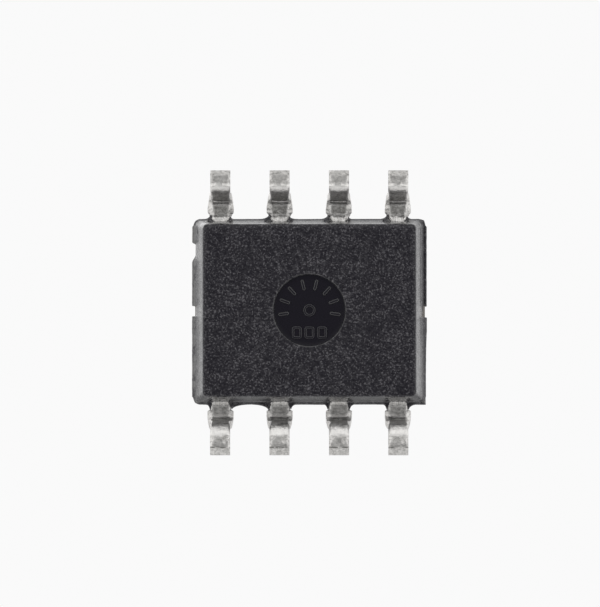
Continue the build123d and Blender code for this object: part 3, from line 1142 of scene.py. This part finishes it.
    def roots(self, parting: np.ndarray) -> np.ndarray:
        """Return how filleted the flash's root is at each point of the parting line.

        Args:
            parting: The points of the parting line.

        Returns:
            Shares from 0 to 1.
        """
        made = []
        for x, y in parting:
            right = self.root_right[0] + (self.root_right[1] - self.root_right[0]) * ease(y, 0.0, 0.2)
            across = self.root_left + (right - self.root_left) * ease(x, -1.0, 1.0)
            along = self.root_front + (self.root_back - self.root_front) * ease(y, -1.0, 1.0)
            end = ease(abs(x), self.half_length - self.parting_radius, self.half_length - 0.02)
            made.append(along + (across - along) * end)
        return np.array(made) * (1 + 0.25 * np.array([rough(x, y, 6.0, 5.0) for x, y in parting]))

    def outline(self) -> tuple[np.ndarray, np.ndarray, np.ndarray]:
        """Walk once round the parting line, anticlockwise from above.

        Returns:
            The points of the parting line, its outward directions, and the flash's reach at each.
        """
        points: list[Point] = []
        outwards: list[Point] = []
        reach: list[float] = []
        core = (self.half_length - self.parting_radius, self.half_width - self.parting_radius)

        def corner(sx: int, sy: int, start: float, square: float) -> None:
            """Round a corner of the outline.

            Args:
                sx: The corner's side along X, -1 or 1.
                sy: The corner's side along Y, -1 or 1.
                start: The direction in which it starts, in degrees.
                square: How far its flash keeps to a square corner, 0 to 1.
            """
            radius = self.parting_radius
            for turn in np.linspace(start, start + 90, 9)[1:-1]:
                a = math.radians(turn)
                way = (math.cos(a), math.sin(a))
                points.append((sx * core[0] + radius * way[0], sy * core[1] + radius * way[1]))
                outwards.append(way)
                fill = square * (1 / max(abs(way[0]), abs(way[1])) - 1) * (radius + 0.06)
                reach.append(0.055 + fill)

        for x in self._side_places():
            points.append((x, -self.half_width))
            outwards.append((0.0, -1.0))
            reach.append(self.side_climb(x, self.front_webs))
        corner(1, -1, -90, 0.35)
        for y in self._end_places(1):
            points.append((self.half_length, y))
            outwards.append((1.0, 0.0))
            reach.append(self.end_climb(y, 1))
        corner(1, 1, 0, 1.0)
        for x in reversed(self._side_places()):
            points.append((x, self.half_width))
            outwards.append((0.0, 1.0))
            reach.append(self.side_climb(x, self.back_webs))
        corner(-1, 1, 90, 0.2)
        for y in reversed(self._end_places(-1)):
            points.append((-self.half_length, y))
            outwards.append((-1.0, 0.0))
            reach.append(self.end_climb(y, -1))
        corner(-1, -1, 180, 0.1)
        return np.array(points), np.array(outwards), np.array(reach)

    def rows(self) -> list[np.ndarray]:
        """Return the loops of the body's skin, from the recess's middle round to the dimple's.

        Returns:
            The loops, each with the same number of points.
        """
        parting, outwards, reach = self.outline()
        shrink = (self.face_half_length / self.half_length, self.face_half_width / self.half_width)
        face = parting * np.array(shrink)

        def level(plan: np.ndarray, z: float) -> np.ndarray:
            """Lift a plan loop to a level."""
            return np.column_stack([plan, np.full(len(plan), z)])

        def rim(centre: Point) -> np.ndarray:
            """Unit directions from a centre to the face's outline."""
            away = face - np.array(centre)
            return away / np.linalg.norm(away, axis=1)[:, None]

        def hollow(
            centre: Point, radius: float, floor: float, mouth: float, fillet: float
        ) -> list[np.ndarray]:
            """Make the loops of a round hollow, from its middle to its lip.

            Args:
                centre: Its place on the face.
                radius: Its radius.
                floor: The level of its floor.
                mouth: The level of the face around it.
                fillet: The radius between its floor and its wall.

            Returns:
                The loops.
            """
            lip = self.lip
            sign = 1 if mouth > floor else -1
            spots = [(radius * t, floor) for t in (0.02, 0.3, 0.6, 0.85)]
            turns = [math.radians(a) for a in (0, 25, 50, 75)]
            for a in turns:
                height = sign * fillet * (1 - math.cos(a))
                spots.append((radius - fillet + fillet * math.sin(a), floor + height))
            spots += [(radius, mouth - sign * lip)]
            for a in turns[1:]:
                spots.append((radius + lip * (1 - math.cos(a)), mouth - sign * lip * (1 - math.sin(a))))
            spots += [(radius + lip, mouth)]
            return [level(np.array(centre) + rim(centre) * r, z) for r, z in spots]

        def spread(centre: Point, radius: float, z: float, count: int) -> list[np.ndarray]:
            """Make the loops that turn a round rim into the face's outline.

            Args:
                centre: The rim's centre.
                radius: The rim's radius.
                z: The face's level.
                count: How many loops to make.

            Returns:
                The loops, without the rim itself.
            """
            inner = np.array(centre) + rim(centre) * radius
            outer = face - outwards * self.edge_radius
            return [level(inner + (outer - inner) * t, z) for t in np.linspace(0, 1, count + 1)[1:]]

        def rounded(z: float, sign: int) -> list[np.ndarray]:
            """Make the loops round a face's outer edge.

            Args:
                z: The face's level.
                sign: 1 where the body lies above the face, and -1 below it.

            Returns:
                The loops, outwards.
            """
            made = []
            for a in [math.radians(turn) for turn in (18, 36, 54, 72)]:
                plan = face - outwards * self.edge_radius * (1 - math.sin(a))
                made.append(level(plan, z + sign * self.edge_radius * (1 - math.cos(a))))
            return made

        def draft(from_z: float, to_z: float, end_z: float, count: int) -> list[np.ndarray]:
            """Make the loops of a drafted side.

            Args:
                from_z: The level at which it leaves the face.
                to_z: The level at which it would meet the parting line.
                end_z: The level at which it ends.
                count: How many loops to make.

            Returns:
                The loops, outwards.
            """
            last = (end_z - from_z) / (to_z - from_z)
            return [
                level(face + (parting - face) * t, from_z + (to_z - from_z) * t)
                for t in np.linspace(0, last, count + 1)[1:]
            ]

        edge = np.minimum(self.flash_edge, 0.45 * reach)
        # no fillet under the webs beside the leads
        webbed = [ease(out, 0.058, 0.085) * (abs(y) > self.web_from) for out, (_, y) in zip(reach, parting)]
        root = self.roots(parting) * (1 - 0.9 * np.array(webbed))
        rise = (self.flash_bottom - self.root_level) / (self.flash_bottom - self.bottom)
        inner = parting + (face - parting) * rise

        def under(share: float) -> np.ndarray:
            """Make a loop of the flash's underside.

            Args:
                share: How far it lies on the way from the flash's root to its edge.

            Returns:
                The loop.
            """
            flat = level(parting + outwards * ((reach - edge) * share)[:, None], self.flash_bottom)
            deep = self.flash_bottom - (self.flash_bottom - self.root_level) * (1 - share) ** 1.25
            bent = level(inner + (flat[:, :2] - inner) * share**0.9, deep)
            span = parting + outwards * (reach - edge)[:, None] - inner
            bent[:, :2] += span * (share * (1 - share) * 0.25)
            return flat + (bent - flat) * root[:, None]

        flash = [
            *(under(share) for share in (0.0, 0.25, 0.5, 0.75, 1.0)),
            level(parting + outwards * (reach - edge * 0.3)[:, None], self.flash_bottom + 0.006),
            level(parting + outwards * reach[:, None], self.flash_bottom + 0.018),
            level(parting + outwards * reach[:, None], (self.flash_bottom + self.flash_top) / 2),
            level(parting + outwards * reach[:, None], self.flash_top - 0.018),
            level(parting + outwards * (reach - edge * 0.3)[:, None], self.flash_top - 0.006),
            level(parting + outwards * (reach - edge)[:, None], self.flash_top),
            level(parting + outwards * (reach * 0.5)[:, None], self.flash_top),
        ]
        lower = self.bottom + self.edge_radius
        upper = self.top - self.edge_radius
        middle = (0.0, 0.0)
        made = hollow(middle, self.recess_radius, self.bottom + self.recess_depth, self.bottom, 0.014)
        made += spread(middle, self.recess_radius + self.lip, self.bottom, self.lower_face_loops)
        made += rounded(self.bottom, 1)
        made += draft(lower, self.flash_bottom, self.root_level - 0.02, self.side_loops)
        made += flash
        made += draft(upper, self.flash_top, self.flash_top, self.side_loops)[::-1]
        made += rounded(self.top, -1)[::-1]
        floor = self.top - self.dimple_depth
        rim_radius = self.dimple_radius + self.lip
        made += spread(self.dimple_place, rim_radius, self.top, self.upper_face_loops)[::-1]
        made += hollow(self.dimple_place, self.dimple_radius, floor, self.top, 0.02)[::-1]
        return [self._eroded(row) for row in made]

    def _eroded(self, row: np.ndarray) -> np.ndarray:
        """Roughen a loop as the mould's eroded walls left it, apart from the recess's floor.

        Args:
            row: The loop.

        Returns:
            The roughened loop.
        """
        made = row.copy()
        for i, (x, y, z) in enumerate(row):
            if math.hypot(x, y) < self.recess_radius + 0.02 and z < self.bottom + self.recess_depth + 0.01:
                continue
            inside = min(self.face_half_length - abs(x), self.face_half_width - abs(y))
            bump = 0.0022 * rough(x, y, z, 13.0) + 0.0016 * rough(y, z, x, 27.0)
            bump *= 1 - ease(inside, 0.04, 0.20)
            fall = self.roll[1] * max(1 - max(inside, 0.0) / self.roll[0], 0.0) ** 2
            middle = (self.bottom + self.top) / 2
            made[i, 2] += bump + math.copysign(fall, middle - z) * (1 - ease(abs(z - middle), 0.70, 0.60))
            made[i, 0] += 0.8 * bump
            made[i, 1] -= 0.8 * bump
        made[:, 2] = np.minimum(made[:, 2], self.top)
        return made

    def build(self) -> bpy.types.Object:
        """Build the body's mesh."""
        rows = [row[::-1] for row in self.rows()]
        return grid_object("package_body", rows, Finishes.MOULDING_COMPOUND, start=True, end=True)


# ---- Recess marks -----------------------------------------------------------------------------
@dataclass
class RecessMarks:
    """Plain raised marks on the recess's floor: an arc of bars, a ring and a row of blank boxes."""

    floor: float = 0.21
    height: float = 0.025
    sunk: float = 0.004
    bars: int = 8
    bar_step: float = 28.0
    bar_ring: float = 0.56
    bar_length: float = 0.24
    bar_width: float = 0.07
    ring_radius: float = 0.105
    stroke: float = 0.05
    boxes: int = 3
    box_pitch: float = 0.27
    box_width: float = 0.16
    box_height: float = 0.21
    box_row: float = 0.48
    box_corner: float = 0.028

    def _profile(self, inner: Callable[[float], list[Point]]) -> list[np.ndarray]:
        """Round a mark's wall over from its foot to its top.

        Args:
            inner: Gives the mark's outline when drawn in by a distance.

        Returns:
            The loops from the foot to the top.
        """
        crown = self.height * 0.95
        spots = [(0.0, -self.sunk), (0.0, self.height - crown)]
        for a in (0.5, 1.0, math.pi / 2):
            spots.append((crown * (1 - math.cos(a)), self.height - crown * (1 - math.sin(a))))
        return [np.array([(x, y, self.floor - h) for x, y in inner(d)]) for d, h in spots]

    def _bar(self, angle: float) -> list[np.ndarray]:
        """Make one radial bar.

        Args:
            angle: Its direction from the recess's middle, in radians.

        Returns:
            The loops from its foot to its top.
        """
        way = np.array([math.cos(angle), math.sin(angle)])
        across = np.array([-way[1], way[0]])
        middle = way * self.bar_ring

        def outline(drawn_in: float) -> list[Point]:
            """Walk round the bar.

            Args:
                drawn_in: How far inside its foot.

            Returns:
                The points.
            """
            radius = self.bar_width / 2 - drawn_in
            straight = self.bar_length / 2 - self.bar_width / 2
            made = []
            for sign, turns in ((1, np.linspace(-90, 90, 7)), (-1, np.linspace(90, 270, 7))):
                for turn in np.radians(turns):
                    out = way * (sign * straight + radius * math.cos(turn))
                    made.append(tuple(middle + out + across * radius * math.sin(turn)))
            return made

        return self._profile(outline)

    def _closed_stroke(self, path: Callable[[float], list[Point]]) -> list[np.ndarray]:
        """Return the loops of a closed stroke: out over its crown and back down inside.

        Args:
            path: Gives the stroke's middle line, moved outwards by a distance.

        Returns:
            The loops, from the outer foot to the inner foot.
        """
        half = self.stroke / 2
        spots = [(half, -self.sunk), (half, self.height * 0.5)]
        spots += [(half * 0.8, self.height * 0.85), (half * 0.4, self.height)]
        spots += [(-out, up) for out, up in reversed(spots)]
        return [np.array([(x, y, self.floor - h) for x, y in path(out)]) for out, h in spots]

    def _ring(self) -> list[np.ndarray]:
        """Return the loops of the ring in the middle.

        Returns:
            The loops, from the outer foot to the inner foot.
        """
        turns = np.radians(np.arange(0, 360, 10))

        def path(out: float) -> list[Point]:
            """Circle, moved outwards by a distance."""
            radius = self.ring_radius + out
            return [(radius * math.cos(a), radius * math.sin(a)) for a in turns]

        return self._closed_stroke(path)

    def _box(self, x: float) -> list[np.ndarray]:
        """Make one blank box.

        Args:
            x: The place of its middle along X.

        Returns:
            The loops, from the outer foot to the inner foot.
        """
        corner = self.box_corner
        core = (self.box_width / 2 - corner, self.box_height / 2 - corner)

        def path(out: float) -> list[Point]:
            """Walk round the box.

            Args:
                out: How far outside its middle line.

            Returns:
                The points.
            """
            made = []
            radius = corner + out
            for start, sx, sy in ((0, 1, 1), (90, -1, 1), (180, -1, -1), (270, 1, -1)):
                cx, cy = x + sx * core[0], self.box_row + sy * core[1]
                for turn in np.radians(np.linspace(start, start + 90, 5)):
                    made.append((cx + radius * math.cos(turn), cy + radius * math.sin(turn)))
            return made

        return self._closed_stroke(path)

    def build(self) -> list[bpy.types.Object]:
        """Build every mark.

        Returns:
            The marks: the bars, the ring and the boxes.
        """
        finish = Finishes.MOULDING_COMPOUND
        made = []
        arc = self.bar_step * (self.bars - 1)
        for i in range(self.bars):
            angle = math.radians(-90 - arc / 2 + self.bar_step * i)
            made.append(grid_object(f"recess_bar_{i + 1}", self._bar(angle), finish, start=True, end=True))
        made.append(grid_object("recess_ring", self._looped(self._ring()), finish, start=False, end=False))
        for i in range(self.boxes):
            x = self.box_pitch * (i - (self.boxes - 1) / 2)
            loops = self._looped(self._box(x))
            made.append(grid_object(f"recess_box_{i + 1}", loops, finish, start=False, end=False))
        return made

    @staticmethod
    def _looped(rows: list[np.ndarray]) -> list[np.ndarray]:
        """Close a tube of loops onto its first loop."""
        return [*rows, rows[0]]


# ---- Inner pieces -----------------------------------------------------------------------------
@dataclass
class InnerPieces:
    """The CAD nodes that stay as they are: the paddle, the adhesive, the die and its wires."""

    finishes: dict[str, Finishes] = field(
        default_factory=lambda: {
            "die_paddle": Finishes.COPPER_FRAME,
            "die_attach": Finishes.SILVER_EPOXY,
            "silicon_die": Finishes.SILICON,
            "bond_wire": Finishes.GOLD_WIRE,
        }
    )

    def dress(self) -> None:
        """Put each node's finish on it."""
        for name, node in frame["nodes"].items():
            for stem, finish in self.finishes.items():
                if name.startswith(stem):
                    node.data.materials.clear()
                    node.data.materials.append(finish.value.material())
                    LOG.info("%s: %s", name, finish.value.name)


# ---- Studio -----------------------------------------------------------------------------------
@dataclass
class Studio:
    """Pale floor, soft light and the camera."""

    background: float = 0.955
    dome: float = 0.92
    nadir: float = 0.12
    dark_spot: Point = (0.122, 0.9925)  # the Y and -Z parts of its direction, close to the camera's
    tilt: float = 2.9  # of the camera off the vertical, towards +Y
    lens: float = 400.0
    sensor: float = 36.0
    view_width: float = 12.876
    aim: tuple[float, float, float] = (-0.202, -0.143, 0.15)
    floor_half: float = 0.3  # in metres
    floor_tone: float = 0.80
    floor_fade: Point = (14.0, 45.0)

    def light_world(self) -> None:
        """Light the chip from a soft dome: dark straight below, where the camera is, and paler to -Y."""
        world = bpy.data.worlds.new("studio")
        bpy.context.scene.world = world
        world.use_nodes = True
        graph = Graph(world.node_tree)
        direction = graph.node("ShaderNodeTexCoord", {}, out=0)
        y = graph.axis(direction, 1)
        z = graph.axis(direction, 2)
        ring = (y * self.dark_spot[0] - z * self.dark_spot[1]).step(0.985, 0.80)
        horizon = 1 - (1 - abs(z).step(0.0, 0.40)) * 0.18
        behind = 1 - z.step(0.55, 0.85) * (y.step(-0.05, 0.30) * 0.66 + y.step(-0.10, -0.30) * 0.2)
        tone = (self.nadir + ring * (self.dome - self.nadir)) * (1 - y * 0.16) * horizon * behind
        camera = graph.node("ShaderNodeLightPath", {}, out=0)
        strength = tone * (1 - camera) + camera * self.background
        colour = graph.node("ShaderNodeCombineColor", {}, strength, strength, strength)
        light = graph.node("ShaderNodeBackground", {}, colour, 1.0)
        graph.node("ShaderNodeOutputWorld", {}, light)

    def hang_lamp(self, name: str, place: Sequence[float], size: float, radiance: float) -> None:
        """Hang a square soft lamp that faces the chip.

        Args:
            name: The lamp's name.
            place: Where it hangs, in millimetres.
            size: Its side, in millimetres.
            radiance: How bright its face is; 1 is white.
        """
        lamp = bpy.data.lights.new(name, "AREA")
        lamp.shape = "SQUARE"
        lamp.size = size * METRE
        lamp.energy = radiance * math.pi * lamp.size**2
        holder = bpy.data.objects.new(name, lamp)
        bpy.context.scene.collection.objects.link(holder)
        holder.location = Vector(place) * METRE
        holder.rotation_euler = (-holder.location).to_track_quat("-Z", "Y").to_euler()

    def lay_floor(self) -> None:
        """Lay a pale floor that shows, and takes the chip's shadow, only when seen from above."""
        half = self.floor_half
        corners = [(-half, -half, 0), (half, -half, 0), (half, half, 0), (-half, half, 0)]
        mesh = bpy.data.meshes.new("floor")
        mesh.from_pydata(corners, [], [(0, 1, 2, 3)])
        floor = bpy.data.objects.new("floor", mesh)
        bpy.context.scene.collection.objects.link(floor)
        material = bpy.data.materials.new("floor")
        material.use_nodes = True
        graph = Graph(material.node_tree)
        camera = graph.node("ShaderNodeLightPath", {}, out=0)
        behind = graph.node("ShaderNodeNewGeometry", {}, out=6)
        away = graph.node("ShaderNodeVectorMath", {"operation": "LENGTH"}, graph.place(), out=1)
        shown = camera * (1 - behind) * (1 - away.step(*self.floor_fade))
        clear = graph.node("ShaderNodeBsdfTransparent", {})
        tone = (self.floor_tone,) * 3 + (1.0,)
        pale = graph.node("ShaderNodeBsdfDiffuse", {}, tone)
        graph.node("ShaderNodeOutputMaterial", {}, graph.node("ShaderNodeMixShader", {}, shown, clear, pale))
        mesh.materials.append(material)

    def place_camera(self) -> None:
        """Look up at the underside, with +X to the right and -Y at the top."""
        data = bpy.data.cameras.new("camera")
        data.lens = self.lens
        data.sensor_fit = "HORIZONTAL"
        data.sensor_width = self.sensor
        data.clip_start, data.clip_end = 0.001, 2.0
        camera = bpy.data.objects.new("camera", data)
        bpy.context.scene.collection.objects.link(camera)
        tilt = math.radians(self.tilt)
        ahead = Vector((0.0, -math.sin(tilt), math.cos(tilt)))
        up = Vector((0.0, -math.cos(tilt), -math.sin(tilt)))
        right = ahead.cross(up)
        away = self.view_width * self.lens / self.sensor
        spot = (Vector(self.aim) - ahead * away) * METRE
        turn = Matrix((right, up, -ahead)).transposed().to_4x4()
        camera.matrix_world = Matrix.Translation(spot) @ turn
        bpy.context.scene.camera = camera

    def build(self) -> None:
        """Set up the camera, the light and the floor."""
        bpy.context.scene.view_settings.view_transform = "Standard"
        self.place_camera()
        self.light_world()
        self.lay_floor()
        self.hang_lamp("left_soft_lamp", (-60, -15, -45), 55, 0.30)
        self.hang_lamp("right_soft_lamp", (60, -15, -45), 55, 0.30)
        self.hang_lamp("upper_soft_lamp", (-35, -45, 70), 60, 0.9)


# ---- The chip ---------------------------------------------------------------------------------
def build_chip() -> None:
    """Build every piece of the chip in order and fix it to the frame."""
    body = Body().build()
    settle(body, Finishes.MOULDING_COMPOUND, "package_body")
    for mark in RecessMarks().build():
        settle(mark, Finishes.MOULDING_COMPOUND)
    for mount in frame["record"]["mounts"]:
        if mount["name"].startswith("foot_"):
            x, y, _ = mount["pos_m"]
            number = int(mount["name"].split("_")[1])
            lead = Lead(number, x / METRE, 1 if y > 0 else -1, drift=LEAD_DRIFTS[number - 1])
            settle(lead.build(), Finishes.TINNED_LEAD, lead.name)
    InnerPieces().dress()


def main() -> None:
    """Build the studio and the chip."""
    logging.basicConfig(level=logging.INFO, format="%(name)s: %(message)s")
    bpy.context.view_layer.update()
    Studio().build()
    build_chip()


if __name__ == "__main__":
    main()
